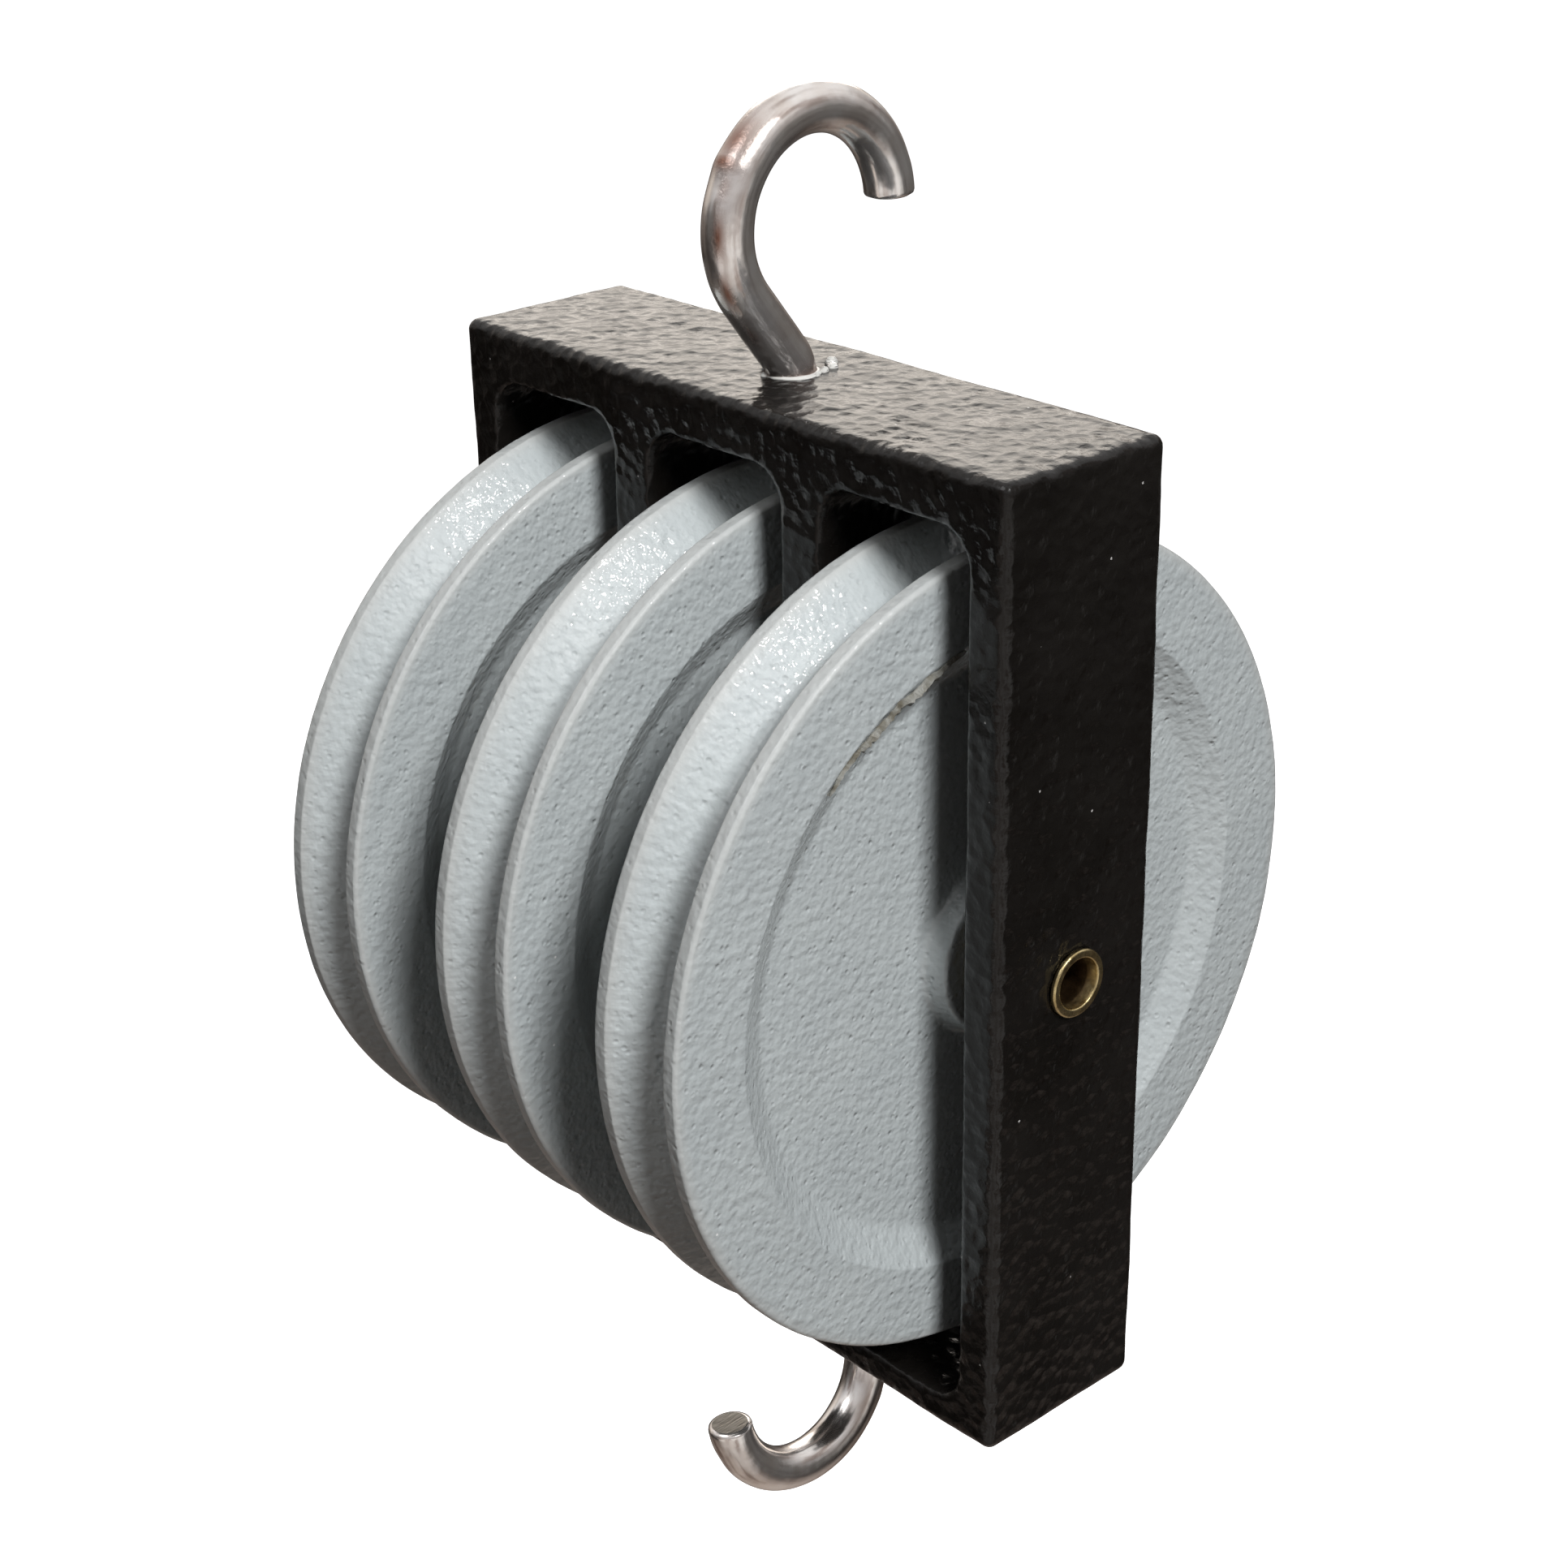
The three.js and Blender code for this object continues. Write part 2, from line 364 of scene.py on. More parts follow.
def grey_powder_coat():
    """Light grey glossy paint with a fine orange peel, smoother on the edges, and warmer and a little
    lighter there, partly as a painted highlight.
    """
    n = Paint("grey_powder_coat")
    place = n.place()
    around = n.place("UV")
    peel = n.noise(place, size_mm=0.6, detail=1.5)
    skin = n.noise(place, size_mm=0.52, detail=1.0)
    pits = n.spread(n.cells(place, size_mm=0.7), 0.06, 0.26)
    slow = n.noise(place, size_mm=5.0, detail=3.0)
    streaks = n.streaks(around, (420, 6, 1), detail=2.0)
    edge = n.attribute("edge")
    groove = n.attribute("groove")
    body = n.mix(n.spread(slow, *NOISE_RANGE), COOL_GREY, PALE_GREY)
    # A warmer, lighter tint on the edges, partly a painted highlight.
    edge_tint_and_sheen = n.mix(n.math("MULTIPLY", edge, 0.45), body, WARM_EDGE_SHEEN_GREY)
    dust = n.spread(n.cells(place, size_mm=3.1), 0.03, 0.018)
    n.set(
        Base_Color=n.mix(dust, edge_tint_and_sheen, DUST_ON_GREY),
        Roughness=n.rough(n.noise(place, size_mm=1.8, detail=2.0), 0.42, 0.55),
        Coat_Weight=0.7,
        Coat_Roughness=0.05,
        Coat_IOR=1.5,
    )
    flat = n.math("SUBTRACT", 1.0, n.math("MULTIPLY", edge, 0.6))
    normal = n.bump(n.math("MULTIPLY", peel, flat), depth_mm=0.18)
    normal = n.bump(n.math("MULTIPLY", pits, flat), depth_mm=0.05, before=normal)
    normal = n.bump(n.math("MULTIPLY", streaks, groove), depth_mm=0.03, before=normal)
    n.set(Normal=normal, Coat_Normal=n.bump(skin, depth_mm=0.085))
    return n.material


def brass():
    """Drawn brass with stains and faint lines along it, and painted shade darkening the bore."""
    n = Paint("brass")
    place = n.place()
    across = n.stretched(place, (0.15, 1, 1))
    stain = n.noise(place, size_mm=0.9, detail=3.0)
    # How far into the bore a point is: its brown there is painted shade, and it is rougher.
    bore = n.attribute("bore")
    bright = n.mix(n.spread(stain, 0.35, 0.7), BRIGHT_BRASS, STAINED_BRASS)
    rough = n.rough(n.noise(place, size_mm=0.5, detail=2.0), 0.2, 0.36)
    n.set(
        Base_Color=n.mix(bore, bright, BORE_SHADE_BROWN),
        Metallic=1.0,
        Roughness=n.math("ADD", rough, n.math("MULTIPLY", bore, 0.25)),
    )
    normal = n.bump(n.noise(across, size_mm=0.12, detail=2.0), depth_mm=0.008)
    n.set(Normal=n.bump(n.noise(place, size_mm=0.7, detail=2.0), depth_mm=0.05, before=normal))
    return n.material


def plated_wire():
    """Bright plating over drawn wire, with faint lines along it, darker where it is worn and along a
    painted reflection.
    """
    n = Paint("plated_wire")
    place = n.place()
    along = n.place("UV")
    lines = n.streaks(along, (26, 3, 1), detail=3.0)
    smudge = n.noise(place, size_mm=2.4, detail=3.0)
    # Darker where the wire is worn and along a painted reflection on the shank.
    wear_and_reflection = n.attribute("wear_and_reflection")
    tint = n.mix(n.spread(smudge, 0.35, 0.7), BRIGHT_PLATING, SMUDGED_PLATING)
    rough = n.rough(lines, 0.13, 0.25)
    n.set(
        Base_Color=n.mix(wear_and_reflection, tint, PLATING_WEAR_AND_REFLECTION),
        Metallic=0.91,
        Roughness=n.math("ADD", rough, n.math("MULTIPLY", wear_and_reflection, 0.2)),
        Coat_Weight=0.7,
        Coat_Roughness=0.05,
    )
    normal = n.bump(lines, depth_mm=0.012)
    normal = n.bump(n.noise(place, size_mm=1.6, detail=2.0), depth_mm=0.05, before=normal)
    pitting = n.math("MULTIPLY", n.noise(place, size_mm=0.25, detail=2.0), wear_and_reflection)
    n.set(Normal=n.bump(pitting, depth_mm=0.06, before=normal))
    return n.material


def sawn_end():
    """The wire's cut face: dull, with saw lines."""
    n = Paint("sawn_end")
    place = n.place()
    lines = n.noise(n.stretched(place, (1, 0.12, 1)), size_mm=0.14, detail=2.0)
    n.set(
        Base_Color=n.mix(n.noise(place, size_mm=0.5, detail=2.0), BRIGHT_CUT, DULL_CUT),
        Metallic=1.0,
        Roughness=n.rough(lines, 0.3, 0.5),
        Normal=n.bump(lines, depth_mm=0.03),
    )
    return n.material


def dried_adhesive():
    """Glassy dried drops, only partly clear, whose near-white colour is partly a painted glint."""
    n = Paint("dried_adhesive")
    place = n.place()
    n.set(
        # The near-white colour is partly a painted glint.
        Base_Color=n.mix(n.noise(place, size_mm=0.3, detail=2.0), GLINT_WHITE_DROP, CLOUDED_GLINT_DROP),
        Roughness=n.rough(n.noise(place, size_mm=0.4, detail=2.0), 0.03, 0.12),
        Transmission_Weight=0.35,
        IOR=1.5,
        Normal=n.bump(n.noise(place, size_mm=0.25, detail=2.0), depth_mm=0.03),
    )
    return n.material


def thin_flash():
    """Grey-brown, half-painted metal."""
    n = Paint("thin_flash")
    place = n.place()
    stain = n.spread(n.noise(place, size_mm=0.6, detail=3.0), 0.35, 0.65)
    n.set(
        Base_Color=n.mix(stain, FLASH_GREY, FLASH_BROWN),
        Roughness=n.rough(n.noise(place, size_mm=0.4, detail=2.0), 0.35, 0.6),
        Normal=n.bump(n.noise(place, size_mm=0.15, detail=2.0), depth_mm=0.05),
    )
    return n.material


# ---------------------------------------------------------------- frame casting

CASTING_GRID = 0.25
SLOPE_STEP = 0.02
# Each pass moves the remeshed casting nearer to its smooth surface.
PASSES = 4
# A hook's hole runs through its rail and ends short of the axle.
HOOK_HOLE_DEPTH = 3 * AXLE_HOLE

# The texture: hammered dents, ripples between them and slow waves, all sunk a little.
DENT_SIZE = 1.25
DENT_DEPTH = 0.06
RIPPLE_SIZE = 0.75
RIPPLE_DEPTH = 0.035
WAVE_SIZE = 4.0
WAVE_DEPTH = 0.06
SINK = 0.02

# Dents and ripples fade to this share on an edge, over this distance from it.
EDGE_SHARE = 0.15
EDGE_WIDTH = 1.3
# A vertex is on an outer face when it is less than this under it.
FACE_DEPTH = 0.5


def rounded_box_distance(p, half, radius):
    """Signed distance from a rounded box, or rectangle, that has its middle at the origin."""
    q = np.abs(p) - (half - radius)
    outside = np.linalg.norm(np.maximum(q, 0), axis=1)
    return outside + np.minimum(q.max(axis=1), 0) - radius


def casting_distance(p):
    """Signed distance from the finished casting's smooth surface. It is below 0 in the metal."""
    local = p - FRAME_CENTRE
    shell = rounded_box_distance(local, FRAME_SIZE / 2, OUTER_EDGE)
    flat = (p - AXLE)[:, [0, 2]]
    half = np.array([WINDOW_WIDTH, WINDOW_HEIGHT]) / 2
    hole = np.full(len(p), np.inf)
    for index in (-1, 0, 1):
        here = flat - (index * SHEAVE_PITCH, 0)
        hole = np.minimum(hole, rounded_box_distance(here, half, WINDOW_CORNER))
    past_edge = np.stack([shell + WINDOW_EDGE, WINDOW_EDGE - hole], 1)
    corner = np.linalg.norm(np.maximum(past_edge, 0), axis=1)
    metal = np.minimum(-WINDOW_EDGE, np.maximum(shell, -hole)) + corner
    axle_hole = AXLE_HOLE - np.linalg.norm((p - AXLE)[:, 1:], axis=1)
    metal = np.maximum(metal, axle_hole)
    for hook in HOOKS.values():
        towards = (p - hook.base) @ hook.outward
        beside = np.linalg.norm(p - hook.base - np.outer(towards, hook.outward), axis=1)
        drilled = np.where(towards > -HOOK_HOLE_DEPTH, HOOK_HOLE - beside, -np.inf)
        metal = np.maximum(metal, drilled)
    return metal


def slope(field, p):
    """Unit direction in which a distance field grows."""
    parts = []
    for axis in np.eye(3) * SLOPE_STEP:
        parts.append(field(p + axis) - field(p - axis))
    grown = np.stack(parts, 1)
    return grown / np.maximum(np.linalg.norm(grown, axis=1), 1e-9)[:, None]


def flatness(points):
    """From 1 on the casting's flat faces down to EDGE_SHARE at its outer and window edges."""
    depths = np.sort(FRAME_SIZE / 2 - np.abs(points - FRAME_CENTRE), axis=1)
    outer = depths[:, 1]
    flat = np.abs((points - AXLE)[:, [0, 2]])
    flat[:, 0] = np.abs((flat[:, 0] + SHEAVE_PITCH / 2) % SHEAVE_PITCH - SHEAVE_PITCH / 2)
    beside = np.abs(flat - np.array([WINDOW_WIDTH, WINDOW_HEIGHT]) / 2).min(axis=1)
    face = depths[:, 0] < FACE_DEPTH
    near = np.where(face, np.minimum(outer, beside), outer)
    return EDGE_SHARE + (1 - EDGE_SHARE) * np.clip(near / EDGE_WIDTH, 0, 1)


def make_casting():
    """The CAD casting remeshed finely, moved onto the rounded surface and given its texture."""
    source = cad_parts["frame"]
    rough = bpy.data.objects.new("rough", source.data.copy())
    bpy.context.scene.collection.objects.link(rough)
    remesh = rough.modifiers.new("fine", "REMESH")
    remesh.mode = "VOXEL"
    remesh.voxel_size = CASTING_GRID * MM
    shaped = rough.evaluated_get(bpy.context.evaluated_depsgraph_get())
    mesh = bpy.data.meshes.new_from_object(shaped)
    bpy.data.objects.remove(rough)
    casting = bpy.data.objects.new("frame_casting", mesh)
    bpy.context.scene.collection.objects.link(casting)
    points = vertices_mm(casting)
    for _ in range(PASSES):
        points -= casting_distance(points)[:, None] * slope(casting_distance, points)
    outward = slope(casting_distance, points)
    dents = np.array([min(noise.voronoi(Vector(p) / DENT_SIZE)[0][0], 1) for p in points])
    texture = DENT_DEPTH * (dents - 0.5) + RIPPLE_DEPTH * lumps(points, RIPPLE_SIZE, seed=3)
    texture = texture * flatness(points) + WAVE_DEPTH * lumps(points, WAVE_SIZE, seed=5) - SINK
    points += outward * texture[:, None]
    mesh.vertices.foreach_set("co", (points * MM).ravel())
    mesh.update()
    mesh.shade_smooth()
    return casting


# ---------------------------------------------------------------- sheaves

RIM_WIDTH = 6.8
RIM_LAND = 1.0
GROOVE_DEPTH = 2.5
GROOVE_ROOT = 0.8
RECESS_DEPTH = 1.3
RECESS_MOUTH = 20.0
RECESS_FLOOR = 17.9
HUB_PROUD = 0.3
HUB_RADIUS = 5.0
HUB_FOOT = 5.4
SHEAVE_BORE = 1.93
SHEAVE_SEGMENTS = 360
SHEAVE_GRID = 0.45

# The paint's surface: orange peel and slow waves, all sunk a little.
PEEL_SIZE = 1.1
PEEL_DEPTH = 0.014
SWELL_SIZE = 6.0
SWELL_DEPTH = 0.04
SKIN = 0.03
FIRST_SHEAVE_SEED = 11
# Inside this radius the bore and the hub's end are left smooth.
SMOOTH_RADIUS = HUB_RADIUS - 1

# The paint is smoother on the rim's corners and, by a share of that, on its lands, and warmer and a
# little lighter there, partly as a painted highlight.
CORNER_REACH = 0.5
LAND_SHARE = 0.8
LAND_DEPTH = 0.2
# The streaked groove reaches this far past its root and its lip.
PAST_ROOT = 0.5
PAST_LIP = 0.1


def sheave_outline():
    """The whole cross-section, from the bore round the rim and back to the bore.

    Each corner is its place along the axle, its distance out and its rounding.
    """
    rim = RIM_WIDTH / 2
    web = rim - RECESS_DEPTH
    hub = rim + HUB_PROUD
    half = [
        (hub, SHEAVE_BORE, 0.25),
        (hub, HUB_RADIUS, 0.4),
        (web, HUB_FOOT, 0.5),
        (web, RECESS_FLOOR, 1.2),
        (rim, RECESS_MOUTH, 0.35),
        (rim, SHEAVE_RADIUS, 0.3),
        (rim - RIM_LAND, SHEAVE_RADIUS, 0.2),
        (GROOVE_ROOT / 2, SHEAVE_RADIUS - GROOVE_DEPTH, 0.35),
    ]
    left = [(-along, out, radius) for along, out, radius in reversed(half)]
    start = (0, SHEAVE_BORE, 0)
    return rounded_outline([start, *half, *left, start], SHEAVE_GRID)


def bell(distance, width):
    """A smooth bump: 1 at no distance, and fading over about the width."""
    return np.exp(-((distance / width) ** 2))


def make_sheave(node):
    """A turned sheave with its paint's texture, marked where the paint is smoother or streaked."""
    centre = SHEAVE_CENTRES[node]
    outline = sheave_outline()
    made = turned(node + "_finished", outline, centre, SHEAVE_SEGMENTS, closed=True)
    loops = outline[:-1]
    rim = RIM_WIDTH / 2
    along = np.abs(loops[:, 0])
    out = loops[:, 1]
    corner = np.maximum(
        bell(np.hypot(along - rim, out - SHEAVE_RADIUS), CORNER_REACH),
        bell(np.hypot(along - rim + RIM_LAND, out - SHEAVE_RADIUS), CORNER_REACH),
    )
    on_land = (out > SHEAVE_RADIUS - LAND_DEPTH) * LAND_SHARE
    edge = np.tile(np.maximum(corner, on_land), SHEAVE_SEGMENTS)
    in_groove = out > SHEAVE_RADIUS - GROOVE_DEPTH - PAST_ROOT
    in_groove &= along < rim - RIM_LAND + PAST_LIP
    # The edge mark smooths the paint and tints it warmer and lighter, partly as a painted highlight.
    point_attribute(made, "edge", edge)
    point_attribute(made, "groove", np.tile(in_groove.astype(float), SHEAVE_SEGMENTS))
    turned_uv(made, len(loops), SHEAVE_SEGMENTS)
    points = vertices_mm(made)
    seed = FIRST_SHEAVE_SEED + list(SHEAVES).index(node)
    texture = PEEL_DEPTH * lumps(points, PEEL_SIZE, seed) + SWELL_DEPTH * lumps(points, SWELL_SIZE, seed)
    texture[np.tile(out < SMOOTH_RADIUS, SHEAVE_SEGMENTS)] = 0
    push(made, texture - SKIN)
    return made


def past_seam(values):
    """Where a face's corners lie on both sides of the seam, adds 1 to the low ones."""
    split = values.max(1) - values.min(1) > 0.5
    values[split] += values[split] < 0.5
    return values


def turned_uv(made, count, segments):
    """U runs once round, V runs once along the outline."""
    mesh = made.data
    corners = np.zeros(len(mesh.loops), np.int32)
    mesh.loops.foreach_get("vertex_index", corners)
    corners = corners.reshape(-1, 4)
    u = past_seam((corners // count) / segments)
    v = past_seam((corners % count) / count)
    layer = mesh.uv_layers.new(name="turned")
    layer.data.foreach_set("uv", np.stack([u.ravel(), v.ravel()], 1).ravel())


# ---------------------------------------------------------------- axle tube

AXLE_RADIUS = 1.85
AXLE_BORE = 1.4
FLARE_RADIUS = 2.1
AXLE_SEGMENTS = 128
# The bore's painted shade deepens over this depth from its mouth.
BORE_FADE = 0.8


def make_axle_tube():
    """A tube with each end rolled outwards over the frame's side."""
    face = FRAME_HIGH[0]
    half = [
        (face - 0.3, AXLE_BORE, 0.3),
        (FLARE_REACH, AXLE_BORE + 0.18, 0.12),
        (FLARE_REACH, FLARE_RADIUS, 0.18),
        (face + 0.06, FLARE_RADIUS - 0.02, 0.08),
        (face + 0.02, AXLE_RADIUS, 0.03),
    ]
    left = [(-along, out, radius) for along, out, radius in reversed(half)]
    start = (0, AXLE_BORE, 0)
    outline = rounded_outline([start, *half, *left, start], 0.3)
    tube = turned("axle_tube_finished", outline, AXLE, AXLE_SEGMENTS, closed=True)
    points = vertices_mm(tube)
    out = np.linalg.norm((points - AXLE)[:, 1:], axis=1)
    depth = FLARE_REACH - np.abs(points[:, 0])
    # Marks the bore for its painted shade and its extra roughness.
    point_attribute(tube, "bore", (out < AXLE_BORE + 0.1) * np.clip(depth / BORE_FADE, 0, 1))
    roughen(tube, depth=0.012, size=0.8, seed=21, sink=0.01)
    return tube


# ---------------------------------------------------------------- hooks

WIRE_RADIUS = 1.5
BOWL_RADIUS = 6.25
BOWL_HEIGHT = 8.6
BOWL_OFFSET = 1.65
BEND_HEIGHT = 0.5
BEND_RADIUS = 2.5
TIP_ANGLE = math.radians(3)
SHANK_SHORTFALL = 0.2
LOWER_HOOK_LEAN = math.radians(7)
WIRE_STEP = 0.14
WIRE_SIDES = 72
TIP_ROUND = 0.3
FIRST_HOOK_SEED = 51
# V grows by 1 in this many wire radii, about the same length as once round the wire.
RADII_PER_V = 6

# On the bowl's shank side the bending tool's grip left a step, with a dip under it.
GRIP_HEIGHT = 12.0
GRIP_LENGTH = 0.45
GRIP_STEP = 0.1
DIP_BELOW = 1.0
DIP_LENGTH = 0.6
DIP_DEPTH = 0.05

# Darker plating: worn at the grip, a stain above it, a patchy dark line below it that is a painted
# reflection, and a ring at the foot.
STAIN_ABOVE = 0.9
STAIN_LENGTH = 1.0
STAIN_WEAR = 0.9
REFLECTION_STREAK_ANGLE = math.radians(28)
REFLECTION_STREAK_WIDTH = 0.24
REFLECTION_STREAK_START = 2.5
REFLECTION_STREAK_FADE_IN = 2
REFLECTION_STREAK_FADE_OUT = 1.5
REFLECTION_STREAK_PATCHES = 0.4
REFLECTION_STREAK_RADIANS_PER_MM = 2.3
FOOT_REACH = 0.7
FOOT_DARKNESS = 0.7


class Hook:
    """Where a hook stands: its base on the rail, the way out, the tip's side and the rail's thickness."""

    def __init__(self, base, outward, tipward, rail):
        self.base = np.array(base, float)
        self.outward = np.array(outward, float)
        self.tipward = np.array(tipward, float)
        self.rail = rail

    def at(self, beside, height):
        return self.base + beside * self.tipward + height * self.outward


HOOKS = {
    "upper_hook": Hook((0, AXLE[1], FRAME_HIGH[2]), (0, 0, 1), (0, 1, 0), TOP_RAIL),
    "lower_hook": Hook(
        (0, AXLE[1], FRAME_LOW[2]),
        (math.sin(LOWER_HOOK_LEAN), 0, -math.cos(LOWER_HOOK_LEAN)),
        (0, -1, 0),
        BOTTOM_RAIL,
    ),
}


def hook_line(rail):
    """The wire's centreline as [beside, height, heading] rows, the rail's face at height 0."""
    reach = math.hypot(BOWL_OFFSET, BOWL_HEIGHT - BEND_HEIGHT)
    rise = math.atan2(BOWL_HEIGHT - BEND_HEIGHT, BOWL_OFFSET)
    heading = rise + math.asin(BOWL_RADIUS / reach)
    bend = heading - math.pi / 2
    setback = BEND_RADIUS * math.tan(bend / 2)
    straight = math.sqrt(reach ** 2 - BOWL_RADIUS ** 2) - setback
    rows = []

    def run(length, start, way):
        for t in np.linspace(0, length, max(2, round(length / WIRE_STEP)), endpoint=False):
            rows.append((start[0] + t * math.cos(way), start[1] + t * math.sin(way), way))

    bottom = SHANK_SHORTFALL - rail
    low_end = BEND_HEIGHT - setback
    run(low_end - bottom, (0, bottom), math.pi / 2)
    for t in np.linspace(0, bend, round(bend * BEND_RADIUS / WIRE_STEP), endpoint=False):
        rows.append((
            BEND_RADIUS * (math.cos(t) - 1), low_end + BEND_RADIUS * math.sin(t), math.pi / 2 + t,
        ))
    corner_end = (setback * math.cos(heading), BEND_HEIGHT + setback * math.sin(heading))
    run(straight, corner_end, heading)
    sweep = math.pi + bend - TIP_ANGLE
    for t in np.linspace(0, sweep, round(sweep * BOWL_RADIUS / WIRE_STEP)):
        angle = math.pi + bend - t
        rows.append((
            BOWL_OFFSET + BOWL_RADIUS * math.cos(angle),
            BOWL_HEIGHT + BOWL_RADIUS * math.sin(angle),
            angle - math.pi / 2,
        ))
    return np.array(rows)


def wire_radius(to_tip):
    """The wire's radius at a distance from its tip, whose edge is rounded."""
    if to_tip >= TIP_ROUND:
        return WIRE_RADIUS
    return WIRE_RADIUS - TIP_ROUND + math.sqrt(TIP_ROUND ** 2 - (TIP_ROUND - to_tip) ** 2)


def wire_marks(beside, height, angles):
    """How far one ring of the wire stands out at each angle, and how dark its plating is there, from wear
    and from a painted reflection.
    """
    shank_side = beside < BOWL_OFFSET
    outer = np.maximum(np.cos(angles), 0) ** 3
    grip = bell(height - GRIP_HEIGHT, GRIP_LENGTH) * shank_side * outer
    dip = bell(height - GRIP_HEIGHT + DIP_BELOW, DIP_LENGTH) * outer
    stain = bell(height - GRIP_HEIGHT - STAIN_ABOVE, STAIN_LENGTH) * shank_side * outer
    # A patchy dark line along the shank: a painted reflection, not wear.
    painted_reflection = bell(angles - REFLECTION_STREAK_ANGLE, REFLECTION_STREAK_WIDTH) * shank_side
    painted_reflection *= np.clip((height - REFLECTION_STREAK_START) / REFLECTION_STREAK_FADE_IN, 0, 1)
    painted_reflection *= np.clip((GRIP_HEIGHT - height) / REFLECTION_STREAK_FADE_OUT, 0, 1)
    painted_reflection *= 1 - REFLECTION_STREAK_PATCHES + REFLECTION_STREAK_PATCHES * math.sin(height * REFLECTION_STREAK_RADIANS_PER_MM)
    foot = np.full(len(angles), FOOT_DARKNESS * bell(max(height, 0), FOOT_REACH))
    wear_and_reflection = np.maximum.reduce([grip, STAIN_WEAR * stain, painted_reflection, foot])
    return GRIP_STEP * grip - DIP_DEPTH * dip, wear_and_reflection


def wire_faces(count):
    """The faces between a number of rings, and a fan of triangles over each end."""
    sides = []
    for low in range(0, (count - 1) * WIRE_SIDES, WIRE_SIDES):
        high = low + WIRE_SIDES
        for s in range(WIRE_SIDES):
            t = (s + 1) % WIRE_SIDES
            sides.append((low + s, low + t, high + t, high + s))
    foot = count * WIRE_SIDES
    tip = foot + 1
    last = foot - WIRE_SIDES
    ends = []
    for s in range(WIRE_SIDES):
        t = (s + 1) % WIRE_SIDES
        ends.append((foot, t, s))
        ends.append((tip, last + s, last + t))
    return sides, ends


def wire_uv(made, side_count, lengths):
    """U runs once round the wire, V runs along it."""
    layer = made.data.uv_layers.new(name="wire")
    for polygon in made.data.polygons[:side_count]:
        corners = [made.data.loops[i].vertex_index for i in polygon.loop_indices]
        around = [c % WIRE_SIDES / WIRE_SIDES for c in corners]
        if max(around) - min(around) > 0.5:
            around = [a + 1 if a < 0.5 else a for a in around]
        for i, c, a in zip(polygon.loop_indices, corners, around):
            layer.data[i].uv = (a, lengths[c // WIRE_SIDES] / WIRE_RADIUS / RADII_PER_V)


def make_hook(node, seed):
    """A bent wire with its bending marks and a sawn face at each end."""
    hook = HOOKS[node]
    line = hook_line(hook.rail)
    lengths = np.concatenate([[0], np.cumsum(np.hypot(*np.diff(line[:, :2], axis=0).T))])
    sideways = np.cross(hook.tipward, hook.outward)
    angles = np.arange(WIRE_SIDES) * 2 * math.pi / WIRE_SIDES
    rings = []
    wear_and_reflection = []
    for (beside, height, heading), along in zip(line, lengths):
        across = -math.sin(heading) * hook.tipward + math.cos(heading) * hook.outward
        proud, ring_wear_and_reflection = wire_marks(beside, height, angles)
        reach = wire_radius(lengths[-1] - along) + proud
        ring = np.outer(np.cos(angles) * reach, across) + np.outer(np.sin(angles) * reach, sideways)
        rings.append(hook.at(beside, height) + ring)
        wear_and_reflection.append(ring_wear_and_reflection)
    points = np.concatenate(rings + [[rings[0].mean(0)], [rings[-1].mean(0)]])
    sides, ends = wire_faces(len(rings))
    made = mesh_object(node + "_finished", points, sides + ends)
    # The mark holds the wear and the painted reflection.
    point_attribute(made, "wear_and_reflection", np.concatenate([*wear_and_reflection, [0, 0]]))
    wire_uv(made, len(sides), lengths)
    made.data.materials.append(PLATING)
    made.data.materials.append(SAWN)
    for polygon in made.data.polygons[len(sides):]:
        polygon.material_index = 1
        polygon.use_smooth = False
    fix_normals(made)
    roughen(made, depth=0.012, size=1.6, seed=seed, sink=0.01)
    return made


# ---------------------------------------------------------------- dried adhesive

# Beads at the upper hook's foot: [beside the shank along X, along Y, radius].
BEADS = [
    (0.3, 2.9, 0.34),
    (1.05, 2.3, 0.28),
    (1.25, 1.45, 0.24),
    (1.65, 0.5, 0.16),
    (-0.5, -1.65, 0.18),
]
FIRST_BEAD_SEED = 41
# A bead's dome against its radius.
DOME_WIDTH = 1.05
DOME_HEIGHT = 1.1
BEAD_SEGMENTS = 28

RING_SEGMENTS = 96
# The ring starts this far inside the wire, and is thickest at this angle from +X.
RING_BITE = 0.06
RING_THICKEST = math.radians(10)


